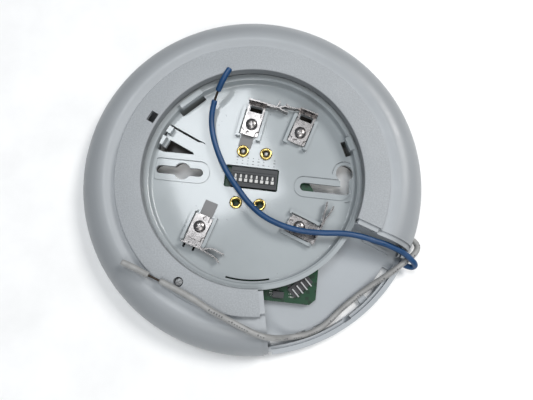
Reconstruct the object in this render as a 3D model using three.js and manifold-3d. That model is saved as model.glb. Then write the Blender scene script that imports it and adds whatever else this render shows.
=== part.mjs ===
// Wired mounting base of a ceiling heat detector, lying on its back.
// Millimetres, +Z away from the ceiling, origin at the centre of the back face.
import * as THREE from 'three';
import { mergeVertices } from 'three/addons/utils/BufferGeometryUtils.js';
import Module from 'manifold-3d';

const wasm = await Module();
wasm.setup();

// Driving dimensions.
const GAP = 0.3;                     // running gap between separate pieces
const RING_STEPS = 60;               // facets round the large rings
const RIM_RADIUS = 81;               // widest point of the cover
const PLATEAU_TOP = 20;              // raised ring round the well
const PLATEAU_EDGE = 62.5;
const WELL_RADIUS = 50.5;
const WALL = 2;                      // moulded wall thickness
const CREST_RADIUS = 68.5;           // top of the rounded outer rim
const CREST_TOP = 17.6;
const RIM_BOTTOM = 2.6;
const RIM_STEPS = 6;                 // facets round the outer curve of the rim
const SECTOR = [-86, -26.2];         // degrees: the part of the ring left open for wiring
const RABBET = 2.2;                  // width of the step along the two cut edges
const REAR_RADIUS = 79.4;
const OPEN_WALL_RADIUS = 80.6;       // the rear wall is thicker where the cover leaves it open
const REAR_WALL_TOP = 6;
const REAR_FLOOR = 2;
const SLOT_RING = [74, 77.2];        // curved gap between the rear floor and its wall
const SLOT_SPANS = [[-85, -72], [-69, -50], [-47, -34.5]];
const SEAT_RADII = [45.6, 47.8];     // ring that the terminal plate rests on
const RIB_TOP = 13;
const PLATE_RADIUS = 50;
const PLATE_BOTTOM = 7;
const PLATE_TOP = 9;
const PLATE_RIM_TOP = 13;
const PLATE_RIM_INNER = 48.4;
const BOARD_TILT = -7.5;             // degrees: the wiring face is turned on the housing
const BOARD_BOTTOM = 4.2;
const BOARD_TOP = 5.8;
const SWITCH_COUNT = 8;
const SWITCH_PITCH = 2.54;
const SWITCH_CENTRE = [0.2, 0.95];
const SWITCH_SIZE = [22, 9.4];
const SWITCH_TOP = 8.6;
const SWITCH_WINDOW = [-13.7, 11.8, -4.7, 6.15];
const LEVER_HALF = 0.75;             // half the side of a square lever
const LEVER_Y = -0.6;
const LEVER_TRAVEL = 2;
const LEVER_DEPTH = 1;               // depth of the recess that a lever slides in
const EYELETS = [[-4.7, 14], [6.3, 12.4], [-8.4, -10.8], [2.7, -12.2]];
const PINNED_EYELETS = 2;            // the first eyelets hold a solder pin
const BOARD_POSTS = [[-14, -38], [31, -22]];
const PIN_HALF = 0.32;
const HEADER = { corner: [22.8, -52.4], angle: 38, pins: 4 };
const COVER_SCREW = [-33.1, -46.9];
const SCREW_PILOT = 1.3;             // hole that the cover screw threads into
const ARM_PIVOT = [-25.3, 15.6];
const ARM_ANGLE = 149.1;             // degrees
const ARM_ROOT = [0, 0.4];           // centre of the round root, along and across the arm
const ARM_LENGTH = 22;
const ARM_REACH = 47.3;              // the arm's end is rounded to this radius
const ROOT_RADIUS = 2.8;
const SQUARE_HOLE = { radius: 53.6, angle: 148.5, size: [3.6, 5] };
const MOUNT_SLOTS = {                // keyholes for the ceiling screws
  left: { from: [-44.2, 6.1], to: [-25.9, 3.9], hole: [-33.8, 4.9] },
  right: { from: [24.1, -3.7], to: [43.4, -6.2], hole: [43.6, 2.3] },
};
const SLOT_HALF_WIDTH = 2;
const KEYHOLE_RADIUS = 4.1;
// Bayonet windows and the ledges over them: middle and half length along the plate's edge.
const WINDOW_RADII = [45.6, 48.4];
const LEDGE_RADII = [47.1, 49.6];
const LEDGE_Z = [11.7, 15];
const BAYONETS = [
  { window: [127.6, 7], ledge: [126.8, 6.2] },
  { window: [17.8, 3.8], ledge: [18.6, 3.2] },
];
// Terminals: screw centre, turn from +Y in degrees clockwise, distance of the upright tab, and
// the side that the fork leaves on.
const TERMINALS = [
  { at: [-0.4, 26.7], turn: 17, tab: 11, fork: 1 },
  { at: [22.8, 22.1], turn: 24, tab: 10.8, fork: 0 },
  { at: [-25.1, -22], turn: 204.5, tab: 9.2, fork: -1 },
  { at: [20.8, -23.1], turn: 118, tab: 9, fork: -1 },
];
const FAR_TABS = TERMINALS.filter(({ tab }) => tab > 10);
const CONTACT_HALF = 4.2;
const CONTACT_Z = [PLATE_TOP + GAP, PLATE_TOP + 0.9];
const CLAMP_Z = [CONTACT_Z[1] + GAP, CONTACT_Z[1] + GAP + 0.8];
const TAB_TOP = 14.2;
const FORK_Z = [10.2, 13.4];
const RAIL_X = [4.7, 6.1];           // low walls at both sides of a terminal
const RAIL_TOP = 11.6;
const SCREW_RADIUS = 1.5;            // threaded part of a terminal screw
const SCREW_HOLE = 1.8;
const WIRE_DIAMETER = 2.7;
const BLUE_ROUTE = [
  [-9.9, 50, 22.4], [-12.7, 45.7, 21.6], [-16, 40.4, 18], [-18.2, 35.2, 15], [-19.3, 28.4, 13.4],
  [-18.5, 20.2, 12.8], [-15.9, 11.4, 12.5], [-12.7, 4.2, 12.5], [-8, -3.6, 12.8],
  [-2.5, -11.4, 13.5], [3.8, -17.7, 14.8], [11.8, -22.3, 15.7], [20.8, -25.2, 15.9],
  [29.8, -26.4, 15.9], [41.2, -27, 15.6], [50.2, -28.8, 14.9], [55, -30.5, 14.4],
  [60.2, -32.1, 13.4], [65.1, -34.2, 12.2], [68, -35.7, 11.4], [70.3, -37.4, 10.8],
  [72.3, -39.2, 10.1], [74.1, -40.9, 8.6], [74.6, -42, 6.9], [73.6, -42.5, 5.5],
  [72, -42, 4.5], [70.5, -41.2, 4], [68.6, -40.4, 3.9],
];
const WHITE_ROUTE = [
  [-57, -37.9, 21.9], [-51.3, -40.6, 21.8], [-44.8, -44.1, 21.8], [-36.2, -48.5, 21.8],
  [-27.6, -53.3, 21.8], [-19.1, -58.9, 21.8], [-10.7, -63.6, 21.4], [-4.4, -67.1, 20.6],
  [-0.4, -69.1, 20.1], [3.4, -70.6, 19.3], [6.7, -71.5, 16.9], [9.6, -72.3, 12.6],
  [12.4, -72.8, 8.4], [15.8, -73, 5.2], [20.3, -72.6, 4], [25.7, -71.2, 3.8], [30.2, -69, 3.8],
  [34.6, -65.8, 3.8], [39, -61.8, 3.8], [45.3, -56.9, 3.9], [51.6, -52.4, 4.3],
  [56, -49.4, 5.6], [59.9, -46.8, 7.2],
  [64.4, -43.9, 7.9], [68.2, -41.3, 7.6], [71.2, -39.2, 7.3], [74, -37.2, 6.8],
  [76.4, -34.9, 5.9], [77.3, -32.5, 4.8], [76.2, -30.3, 4], [73.5, -28.9, 3.8],
  [70, -27.6, 3.8], [66, -26.4, 3.8],
];
const CORD_STEPS = 66;
const CORD_SIDES = 8;
const WIRE_NOTCH = { blue: -30.5, white: -21.4, half: 2.2, top: 5.8 };

const FINISH = {
  cover: new THREE.MeshStandardMaterial({ color: 0xc9cdd0, roughness: 0.55, metalness: 0 }),
  housing: new THREE.MeshStandardMaterial({ color: 0xc3c8cc, roughness: 0.5, metalness: 0 }),
  plate: new THREE.MeshStandardMaterial({ color: 0xd2d7da, roughness: 0.42, metalness: 0 }),
  board: new THREE.MeshStandardMaterial({ color: 0x0c4a2c, roughness: 0.4, metalness: 0 }),
  black: new THREE.MeshStandardMaterial({ color: 0x2b2d30, roughness: 0.5, metalness: 0 }),
  white: new THREE.MeshStandardMaterial({ color: 0xe6e4de, roughness: 0.5, metalness: 0 }),
  steel: new THREE.MeshStandardMaterial({ color: 0xb9b7b0, roughness: 0.25, metalness: 1 }),
  tin: new THREE.MeshStandardMaterial({ color: 0x9a9c9e, roughness: 0.4, metalness: 1 }),
  brass: new THREE.MeshStandardMaterial({ color: 0xc9a24a, roughness: 0.25, metalness: 1 }),
  blue: new THREE.MeshStandardMaterial({ color: 0x16407c, roughness: 0.4, metalness: 0 }),
  pale: new THREE.MeshStandardMaterial({ color: 0xcfcac4, roughness: 0.5, metalness: 0 }),
};

const rad = THREE.MathUtils.degToRad;
const polar = (radius, degrees) => [radius * Math.cos(rad(degrees)), radius * Math.sin(rad(degrees))];

// A closed geometry as a manifold solid.
function solid(geometry) {
  geometry.deleteAttribute('normal');
  geometry.deleteAttribute('uv');
  const merged = mergeVertices(geometry, 1e-4);
  const index = merged.index.array;
  const triangles = [];
  for (let i = 0; i < index.length; i += 3) {
    const [a, b, c] = [index[i], index[i + 1], index[i + 2]];
    if (a !== b && b !== c && c !== a) triangles.push(a, b, c);
  }
  return new wasm.Manifold(new wasm.Mesh({
    numProp: 3,
    vertProperties: new Float32Array(merged.attributes.position.array),
    triVerts: new Uint32Array(triangles),
  }));
}

function piece(name, body, finish) {
  const { vertProperties, triVerts } = body.getMesh();
  const geometry = new THREE.BufferGeometry();
  geometry.setAttribute('position', new THREE.BufferAttribute(vertProperties, 3));
  geometry.setIndex(new THREE.BufferAttribute(triVerts, 1));
  geometry.computeVertexNormals();
  const mesh = new THREE.Mesh(geometry, finish);
  mesh.name = name;
  return mesh;
}

const union = (first, ...rest) => rest.reduce((sum, next) => sum.add(next), first);
const cut = (first, ...rest) => rest.reduce((left, next) => left.subtract(next), first);

// Basic solids, all standing between two heights z0 and z1.
function box(x0, x1, y0, y1, z0, z1) {
  const geometry = new THREE.BoxGeometry(x1 - x0, y1 - y0, z1 - z0);
  return solid(geometry.translate((x0 + x1) / 2, (y0 + y1) / 2, (z0 + z1) / 2));
}

function cylinder(radius, z0, z1, [x, y] = [0, 0], steps = 24) {
  const geometry = new THREE.CylinderGeometry(radius, radius, z1 - z0, steps);
  return solid(geometry.rotateX(Math.PI / 2).translate(x, y, (z0 + z1) / 2));
}

function prism(points, z0, z1) {
  const shape = new THREE.Shape(points.map(([x, y]) => new THREE.Vector2(x, y)));
  const geometry = new THREE.ExtrudeGeometry(shape, { depth: z1 - z0, bevelEnabled: false });
  return solid(geometry.translate(0, 0, z0));
}

// Revolves a closed outline of [radius, height] points about +Z.
function turned(outline, steps = RING_STEPS) {
  const points = outline.map(([r, z]) => new THREE.Vector2(r, z));
  if (THREE.ShapeUtils.area(points) < 0) points.reverse();
  points.push(points[0].clone());
  return solid(new THREE.LatheGeometry(points, steps).rotateX(Math.PI / 2));
}

const ring = (inner, outer, z0, z1, steps) =>
  turned([[inner, z0], [outer, z0], [outer, z1], [inner, z1]], steps);

// A slot with round ends between two points.
function slot([x0, y0], [x1, y1], radius, z0, z1) {
  const length = Math.hypot(x1 - x0, y1 - y0);
  const bar = box(0, length, -radius, radius, z0, z1)
    .rotate([0, 0, THREE.MathUtils.radToDeg(Math.atan2(y1 - y0, x1 - x0))])
    .translate([x0, y0, 0]);
  return union(bar, cylinder(radius, z0, z1, [x0, y0]), cylinder(radius, z0, z1, [x1, y1]));
}

// The wedge between the two cut edges, widened by a margin along both of them.
function sectorWedge(margin, z0, z1) {
  const middle = (SECTOR[0] + SECTOR[1]) / 2;
  const half = (SECTOR[1] - SECTOR[0]) / 2;
  const [x, y] = polar(-margin / Math.sin(rad(half)), middle);
  const [left, right] = SECTOR.map((angle) => polar(3 * RIM_RADIUS, angle));
  return prism([[x, y], [x + left[0], y + left[1]], [x + right[0], y + right[1]]], z0, z1);
}

const inBoardFrame = (body) => body.rotate([0, 0, BOARD_TILT]);

// A strip of constant thickness that stands on edge along a line of points.
function standingStrip(points, thickness, z0, z1) {
  const normals = points.map((point, i) => {
    const before = points[Math.max(i - 1, 0)];
    const after = points[Math.min(i + 1, points.length - 1)];
    const [dx, dy] = [after[0] - before[0], after[1] - before[1]];
    const length = Math.hypot(dx, dy);
    return [-dy / length * thickness / 2, dx / length * thickness / 2];
  });
  const left = points.map(([x, y], i) => [x + normals[i][0], y + normals[i][1]]);
  const right = points.map(([x, y], i) => [x - normals[i][0], y - normals[i][1]]);
  return prism([...right, ...left.reverse()], z0, z1);
}

// Outline of the rounded rim: a quarter ellipse from the crest to the widest point.
function rimCurve(inset, steps) {
  const height = CREST_TOP - 4 - inset * 1.6;
  return Array.from({ length: steps + 1 }, (_, i) => {
    const angle = Math.PI / 2 * (1 - i / steps);
    const reach = RIM_RADIUS - inset - CREST_RADIUS;
    return [CREST_RADIUS + reach * Math.cos(angle), 4 + height * Math.sin(angle)];
  });
}

// Cover shell between an outer skin inset by a depth, and the common inner skin.
function coverShell(depth) {
  const outer = [
    [WELL_RADIUS + depth, PLATE_RIM_TOP + 0.6], [WELL_RADIUS + depth, PLATEAU_TOP - depth],
    [PLATEAU_EDGE - depth, PLATEAU_TOP - depth], [PLATEAU_EDGE + 0.5 - depth, 17.4 - depth],
    [64.8, 16.6 - depth],
    ...rimCurve(depth * 0.6, RIM_STEPS), [RIM_RADIUS - depth * 0.6, RIM_BOTTOM],
  ];
  const inner = [
    [RIM_RADIUS - 1.1, RIM_BOTTOM], ...rimCurve(1.1, RIM_STEPS).reverse(),
    [64.8, 14.5], [PLATEAU_EDGE - 1.8, 15.4], [PLATEAU_EDGE - 2.4, PLATEAU_TOP - WALL],
    [WELL_RADIUS + WALL, PLATEAU_TOP - WALL], [WELL_RADIUS + WALL, PLATE_RIM_TOP + 0.6],
  ];
  return turned([...outer, ...inner]);
}

function frontCover() {
  const skin = cut(coverShell(0), sectorWedge(RABBET, -1, 30));
  const lip = cut(coverShell(1), sectorWedge(0, -1, 30));
  const boss = cylinder(3.8, 13.4, PLATEAU_TOP - 1, COVER_SCREW);
  const { radius, angle, size: [width, length] } = SQUARE_HOLE;
  const squareHole = box(-width / 2, width / 2, -length / 2, length / 2, 10, 25)
    .rotate([0, 0, angle]).translate([...polar(radius, angle), 0]);
  const wireNotch = box(70, 90, -WIRE_NOTCH.half, WIRE_NOTCH.half, 0, WIRE_NOTCH.top)
    .rotate([0, 0, WIRE_NOTCH.white]);
  return cut(
    union(skin, lip, boss), squareHole, wireNotch,
    cylinder(2.2, 16, 25, COVER_SCREW), cylinder(SCREW_PILOT, 10, 20, COVER_SCREW),
  );
}

// The two keyhole openings for the ceiling screws, widened by a margin.
function mountOpenings(margin, z0, z1) {
  const { left, right } = MOUNT_SLOTS;
  const narrow = SLOT_HALF_WIDTH + margin;
  const wide = KEYHOLE_RADIUS + margin;
  return [
    slot(left.from, left.to, narrow, z0, z1), cylinder(wide, z0, z1, left.hole),
    slot(right.from, right.to, narrow, z0, z1), slot(right.to, right.hole, narrow, z0, z1),
    cylinder(wide, z0, z1, right.hole),
  ];
}

function rearHousing() {
  const floor = cylinder(SLOT_RING[1] + 0.5, 0, REAR_FLOOR, [0, 0], RING_STEPS);
  const sector = sectorWedge(-1.5, -1, 10);
  const wall = union(
    ring(SLOT_RING[1], REAR_RADIUS, 0, REAR_WALL_TOP),
    ring(REAR_RADIUS - 0.5, OPEN_WALL_RADIUS, 0, REAR_WALL_TOP).intersect(sector),
  );
  const seat = cut(
    ring(...SEAT_RADII, REAR_FLOOR - 0.5, PLATE_BOTTOM - GAP),
    inBoardFrame(box(-19, 36, -60, 0, REAR_FLOOR, 10)),
  );
  const ribs = [[SECTOR[0] - 1.2, 57.5], [SECTOR[1] + 1.2, 50.8]].map(([angle, from]) =>
    box(from, SLOT_RING[0] - 1, -0.8, 0.8, REAR_FLOOR - 0.5, RIB_TOP).rotate([0, 0, angle]));
  const baseRib = box(59.5, SLOT_RING[0] - 1, -0.6, 0.6, REAR_FLOOR - 0.5, REAR_FLOOR + 2)
    .rotate([0, 0, -29.4]);
  const boss = cylinder(3.6, REAR_FLOOR - 0.5, RIB_TOP, COVER_SCREW);
  const posts = BOARD_POSTS.map((at) =>
    inBoardFrame(cylinder(2.6, REAR_FLOOR - 0.5, BOARD_BOTTOM - GAP, at)));
  const slots = SLOT_SPANS.map(([from, to]) => ringSlot(from, to));
  const notches = [WIRE_NOTCH.blue, WIRE_NOTCH.white].map((angle) =>
    box(76.5, 82, -WIRE_NOTCH.half, WIRE_NOTCH.half, REAR_FLOOR + 0.1, 7).rotate([0, 0, angle]));
  return cut(
    union(floor, wall, seat, ...ribs, baseRib, boss, ...posts),
    ...slots, ...notches, ...mountOpenings(1.5, -1, PLATE_BOTTOM),
    cylinder(SCREW_PILOT, 4.5, 14, COVER_SCREW),
    ...BOARD_POSTS.map((at) => inBoardFrame(cylinder(1.2, 1, 6, at))),
  );
}

// A curved through slot in the rear floor, between two angles.
function ringSlot(from, to) {
  const steps = Math.ceil((to - from) / 5);
  const angles = Array.from({ length: steps + 1 }, (_, i) => from + (to - from) * i / steps);
  const outer = angles.map((angle) => polar(SLOT_RING[1], angle));
  const inner = angles.map((angle) => polar(SLOT_RING[0], angle)).reverse();
  return prism([...outer, ...inner], -1, REAR_FLOOR + 0.01);
}

// Openings round the locking arm, in the arm's own frame.
function armOpening() {
  const channel = box(-0.8, 24, -3.5, 3.5, 0, 20);
  const root = cylinder(ROOT_RADIUS + GAP, 0, 20, ARM_ROOT);
  const wedge = prism([[-0.2, 3.3], [-0.2, 2], [24, 2], [24, 10.6], [14.6, 10]], 0, 20);
  return atArm(union(channel, root, wedge))
    .intersect(cylinder(ARM_REACH + 0.8, -5, 25, [0, 0], RING_STEPS));
}

const atArm = (body) =>
  body.rotate([0, 0, ARM_ANGLE]).translate([ARM_PIVOT[0], ARM_PIVOT[1], 0]);

function lockArm() {
  const bar = box(0, ARM_LENGTH, -2.4, 3.2, PLATE_BOTTOM, PLATE_TOP);
  const root = cylinder(ROOT_RADIUS, PLATE_BOTTOM, PLATE_TOP, ARM_ROOT);
  const hook = box(14.6, ARM_LENGTH, 3, 7.8, PLATE_BOTTOM, PLATE_TOP);
  const tooth = box(15.2, ARM_LENGTH, -2.1, 1.2, PLATE_TOP - 0.5, 12.4);
  const stop = box(15.6, ARM_LENGTH, 3.4, 7.8, PLATE_TOP - 0.5, 13);
  return atArm(union(bar, root, hook, tooth, stop))
    .intersect(cylinder(ARM_REACH, 0, 25, [0, 0], RING_STEPS));
}

const inTerminalFrame = (body, { at, turn }) =>
  body.rotate([0, 0, -turn]).translate([at[0], at[1], 0]);

// The two low walls that guide the wire under a clamp, with their turned-in feet.
function terminalRails(terminal) {
  const [inner, outer] = RAIL_X;
  const rails = [-1, 1].map((side) => {
    const [x0, x1] = side < 0 ? [-outer, -inner] : [inner, outer];
    const [f0, f1] = side < 0 ? [-outer, -3.9] : [3.9, outer];
    return union(
      box(x0, x1, -6.4, 8.4, PLATE_TOP - 0.5, RAIL_TOP),
      box(f0, f1, -7, -6, PLATE_TOP - 0.5, RAIL_TOP),
    );
  });
  return inTerminalFrame(union(...rails), terminal);
}

// Dark opening in the plate between a clamp and a far tab.
const wirePocket = (terminal) => inTerminalFrame(box(-3, 3, 6.9, 9.7, 0, 20), terminal);

// Window and overhanging ledge that the detector head locks under.
const bayonetWindow = ([angle, half]) =>
  box(...WINDOW_RADII, -half, half, 0, LEDGE_Z[0]).rotate([0, 0, angle]);

const bayonetLedge = ([angle, half]) =>
  box(...LEDGE_RADII, -half, half, ...LEDGE_Z).rotate([0, 0, angle]);

function terminalPlate() {
  const disc = cylinder(49, PLATE_BOTTOM, PLATE_TOP, [0, 0], RING_STEPS);
  const rim = ring(PLATE_RIM_INNER, PLATE_RADIUS, REAR_FLOOR + GAP, PLATE_RIM_TOP);
  const [x0, x1, y0, y1] = SWITCH_WINDOW;
  const boardPath = inBoardFrame(box(-18.6, 35.8, -60, -30, 0, 6.8));
  return cut(
    union(disc, rim, ...TERMINALS.map(terminalRails),
      ...BAYONETS.map(({ ledge }) => bayonetLedge(ledge))),
    ...mountOpenings(0, 0, 20), armOpening(), boardPath,
    inBoardFrame(box(x0, x1, y0, y1, 0, 20)),
    ...BAYONETS.map(({ window }) => bayonetWindow(window)),
    ...FAR_TABS.map(wirePocket),
    ...EYELETS.map((at) => cylinder(2.5, 0, 20, at)),
    ...TERMINALS.map(({ at }) => cylinder(SCREW_HOLE, 0, 20, at)),
  );
}

function circuitBoard() {
  const outline = [[-18, -55.1], [32.2, -55.1], [35, -52.4], [35, -10], [16, 18], [-18, 18]];
  return inBoardFrame(cut(
    prism(outline, BOARD_BOTTOM, BOARD_TOP),
    ...BOARD_POSTS.map((at) => cylinder(1.3, 0, 20, at)),
  ));
}

const leverX = (i) => SWITCH_CENTRE[0] + (i - (SWITCH_COUNT - 1) / 2) * SWITCH_PITCH;

function switchBody() {
  const [x, y] = SWITCH_CENTRE;
  const [width, depth] = SWITCH_SIZE;
  const block = box(x - width / 2, x + width / 2, y - depth / 2, y + depth / 2,
    BOARD_TOP + GAP, SWITCH_TOP);
  const recesses = Array.from({ length: SWITCH_COUNT }, (_, i) =>
    box(leverX(i) - LEVER_HALF - GAP, leverX(i) + LEVER_HALF + GAP,
      LEVER_Y - LEVER_HALF - GAP, LEVER_Y + LEVER_HALF + LEVER_TRAVEL + GAP,
      SWITCH_TOP - LEVER_DEPTH, SWITCH_TOP + 1));
  return inBoardFrame(cut(block, ...recesses));
}

function switchLever(i) {
  return inBoardFrame(box(leverX(i) - LEVER_HALF, leverX(i) + LEVER_HALF,
    LEVER_Y - LEVER_HALF, LEVER_Y + LEVER_HALF,
    SWITCH_TOP - LEVER_DEPTH + GAP, SWITCH_TOP + 0.4));
}

function eyelet([x, y]) {
  const outline = [
    [1.55, 5.2], [2.1, 5.2], [2.1, PLATE_TOP + GAP], [3, PLATE_TOP + GAP],
    [2.85, PLATE_TOP + 0.7], [2.2, PLATE_TOP + 0.95], [1.55, PLATE_TOP + 0.6],
  ];
  return turned(outline.map(([r, z]) => [r, Math.max(z, BOARD_TOP + GAP)]), 20)
    .translate([x, y, 0]);
}

const eyeletPin = (at) => cylinder(1.1, BOARD_TOP + GAP, PLATE_TOP + 0.8, at, 12);

// Spring contact: a flat strip under the clamp, an upturned tab and, on most, a blade fork.
function contact(terminal) {
  const [low, high] = CONTACT_Z;
  const { tab, fork: side } = terminal;
  const strip = box(-CONTACT_HALF, CONTACT_HALF, -5.2, tab + 0.3, low, high);
  const upright = box(-4.3, 4.7, tab - 0.3, tab + 0.3, low, TAB_TOP);
  const parts = [strip, upright];
  if (side !== 0) {
    const reach = side > 0 ? 4.4 : -4;
    const along = (points) => points.map(([x, y]) => [reach + side * x, tab + y]);
    const near = along([[0, 0], [3, -0.2], [5.5, -1.3], [8.5, -1.6], [12, -2.6]]);
    const far = along([[0, 0.1], [4, 0.4], [8, 0.6], [12, 2]]);
    parts.push(...[near, far].map((line) => standingStrip(line, 0.5, ...FORK_Z)));
  }
  const openings = [cylinder(SCREW_HOLE, 0, 20)];
  if (FAR_TABS.includes(terminal)) {
    openings.push(box(-3.3, 3.3, 6.6, 10, 0, 20));
  }
  return inTerminalFrame(cut(union(...parts), ...openings), terminal);
}

function clampPlate(terminal) {
  const plate = prism([
    [2.7, -5.7], [2.7, -3.6], [4.2, -2.4], [4.2, 3.6], [3.1, 4.4], [3.1, 6.3],
    [-3.1, 6.3], [-3.1, 4.4], [-4.2, 3.6], [-4.2, -2.4], [-2.7, -3.6], [-2.7, -5.7],
  ], ...CLAMP_Z);
  return inTerminalFrame(
    cut(plate, cylinder(SCREW_HOLE, 0, 20), cylinder(0.7, 0, 20, [-0.8, -4.6])), terminal);
}

function terminalScrew(terminal) {
  const base = CLAMP_Z[1] + GAP;
  const screw = turned([
    [0, PLATE_BOTTOM + GAP], [SCREW_RADIUS, PLATE_BOTTOM + GAP], [SCREW_RADIUS, base],
    [2.8, base], [2.8, base + 0.5], [2.2, base + 1.3], [1.2, base + 1.7], [0, base + 1.7],
  ], 20);
  const drive = union(
    box(-1.9, 1.9, -0.35, 0.35, base + 0.9, base + 3),
    box(-0.35, 0.35, -1.9, 1.9, base + 0.9, base + 3),
  );
  return inTerminalFrame(cut(screw, drive), terminal);
}

// Flat link that runs on from a contact across the plate.
function linkStrip(terminal, y0, y1) {
  return inTerminalFrame(box(-3.1, 2.7, y0, y1, PLATE_TOP + GAP, PLATE_TOP + 0.6), terminal);
}

function coverScrew() {
  return turned([
    [0, 6], [1, 6], [1, 16.3], [1.9, 16.3], [1.9, 17.4], [1.3, 17.9], [0, 17.9],
  ], 16).translate([...COVER_SCREW, 0]);
}

function boardScrew(at) {
  return inBoardFrame(turned([
    [0, REAR_FLOOR - 0.8], [0.9, REAR_FLOOR - 0.8], [0.9, BOARD_TOP + 0.2], [2, BOARD_TOP + 0.2],
    [2, PLATE_BOTTOM - 0.35], [0, PLATE_BOTTOM - 0.35],
  ], 16).translate([...at, 0]));
}

// Right-angle pin header by the board's outer corner.
const inHeaderFrame = (body) =>
  body.rotate([0, 0, HEADER.angle]).translate([...HEADER.corner, 0]);

function headerBody() {
  return inHeaderFrame(box(-5.4, 5.4, 0.7, 5.4, BOARD_TOP + GAP, 7));
}

function headerPin(i) {
  const x = (i - (HEADER.pins - 1) / 2) * SWITCH_PITCH;
  return inHeaderFrame(union(
    box(x - PIN_HALF, x + PIN_HALF, -PIN_HALF, 4.4, 7.4, 8),
    box(x - PIN_HALF, x + PIN_HALF, -PIN_HALF, PIN_HALF, BOARD_TOP + GAP, 8),
  ));
}

const addressChip = () =>
  inBoardFrame(box(14.6, 20.4, -53.6, -50.2, BOARD_TOP + GAP, BOARD_TOP + 1.9));

// A plain tube along hand-placed points.
function cord(route, diameter) {
  const path = new THREE.CatmullRomCurve3(route.map((point) => new THREE.Vector3(...point)));
  const section = new THREE.Shape(Array.from({ length: CORD_SIDES }, (_, i) =>
    new THREE.Vector2(...polar(diameter / 2, 360 * i / CORD_SIDES))));
  return solid(new THREE.ExtrudeGeometry(section, {
    steps: CORD_STEPS, extrudePath: path, bevelEnabled: false,
  }));
}

const group = new THREE.Group();
const add = (name, body, finish) => group.add(piece(name, body, finish));

add('rear_housing', rearHousing(), FINISH.housing);
add('front_cover', frontCover(), FINISH.cover);
add('terminal_plate', terminalPlate(), FINISH.plate);
add('lock_arm', lockArm(), FINISH.plate);
add('circuit_board', circuitBoard(), FINISH.board);
add('address_switch', switchBody(), FINISH.black);
for (let i = 0; i < SWITCH_COUNT; i += 1) {
  add(`switch_lever_${i + 1}`, switchLever(i), FINISH.white);
}
EYELETS.forEach((at, i) => add(`eyelet_${i + 1}`, eyelet(at), FINISH.brass));
EYELETS.slice(0, PINNED_EYELETS).forEach((at, i) =>
  add(`eyelet_pin_${i + 1}`, eyeletPin(at), FINISH.tin));
TERMINALS.forEach((terminal, i) => {
  add(`contact_${i + 1}`, contact(terminal), FINISH.steel);
  add(`clamp_plate_${i + 1}`, clampPlate(terminal), FINISH.steel);
  add(`terminal_screw_${i + 1}`, terminalScrew(terminal), FINISH.steel);
});
add('link_strip_1', linkStrip(TERMINALS[0], -9.4, -5.5), FINISH.tin);
add('link_strip_2', linkStrip(TERMINALS[2], -13.4, -5.5), FINISH.tin);
add('cover_screw', coverScrew(), FINISH.tin);
BOARD_POSTS.forEach((at, i) => add(`board_screw_${i + 1}`, boardScrew(at), FINISH.tin));
add('header_body', headerBody(), FINISH.black);
for (let i = 0; i < HEADER.pins; i += 1) add(`header_pin_${i + 1}`, headerPin(i), FINISH.tin);
add('address_chip', addressChip(), FINISH.black);
add('blue_lead', cord(BLUE_ROUTE, WIRE_DIAMETER), FINISH.blue);
add('white_lead', cord(WHITE_ROUTE, WIRE_DIAMETER), FINISH.pale);

export default group;
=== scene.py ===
"""Looks of the heat detector's mounting base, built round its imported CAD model.

Shapes are written in millimetres in the CAD frame and scaled to metres as their meshes are made.
"""
import math
import random

import bmesh
import bpy
from mathutils import Euler, Matrix, Vector


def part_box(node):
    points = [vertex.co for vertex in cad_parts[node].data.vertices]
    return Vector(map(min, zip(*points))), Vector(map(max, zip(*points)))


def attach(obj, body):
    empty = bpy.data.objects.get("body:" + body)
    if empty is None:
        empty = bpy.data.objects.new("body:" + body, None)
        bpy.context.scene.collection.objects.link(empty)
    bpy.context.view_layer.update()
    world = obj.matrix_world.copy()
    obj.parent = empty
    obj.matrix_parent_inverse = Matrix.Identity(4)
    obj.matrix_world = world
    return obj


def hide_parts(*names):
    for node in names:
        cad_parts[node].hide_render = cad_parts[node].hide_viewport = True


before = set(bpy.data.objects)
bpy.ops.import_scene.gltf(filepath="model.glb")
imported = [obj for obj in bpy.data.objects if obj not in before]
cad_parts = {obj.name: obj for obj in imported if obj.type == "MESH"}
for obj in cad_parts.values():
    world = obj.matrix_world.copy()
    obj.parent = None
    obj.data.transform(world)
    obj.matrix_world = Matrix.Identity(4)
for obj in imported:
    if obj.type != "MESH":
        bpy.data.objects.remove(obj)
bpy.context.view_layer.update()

MM = 0.001


def corner(node, high):
    """A corner of a CAD node's box, in millimetres."""
    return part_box(node)[1 if high else 0] / MM


# Heights and radii, from the frame.
RIM_RADIUS = corner("front_cover", True).x
RIM_BOTTOM = corner("front_cover", False).z
PLATEAU_TOP = corner("front_cover", True).z
PLATE_RADIUS = corner("terminal_plate", True).x
PLATE_RIM_TOP = corner("terminal_plate", True).z
REAR_RADIUS = corner("rear_housing", True).x
BOARD_BOTTOM = corner("circuit_board", False).z
BOARD_TOP = corner("circuit_board", True).z
SWITCH_TOP = corner("address_switch", True).z
PLATE_BOTTOM = corner("lock_arm", False).z
PLATE_THICKNESS = 2
PLATE_TOP = PLATE_BOTTOM + PLATE_THICKNESS
CLAMP_BOTTOM = corner("clamp_plate_1", False).z
CLAMP_TOP = corner("clamp_plate_1", True).z
CONTACT_BOTTOM = corner("contact_1", False).z
SCREW_BOTTOM = corner("terminal_screw_1", False).z

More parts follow.
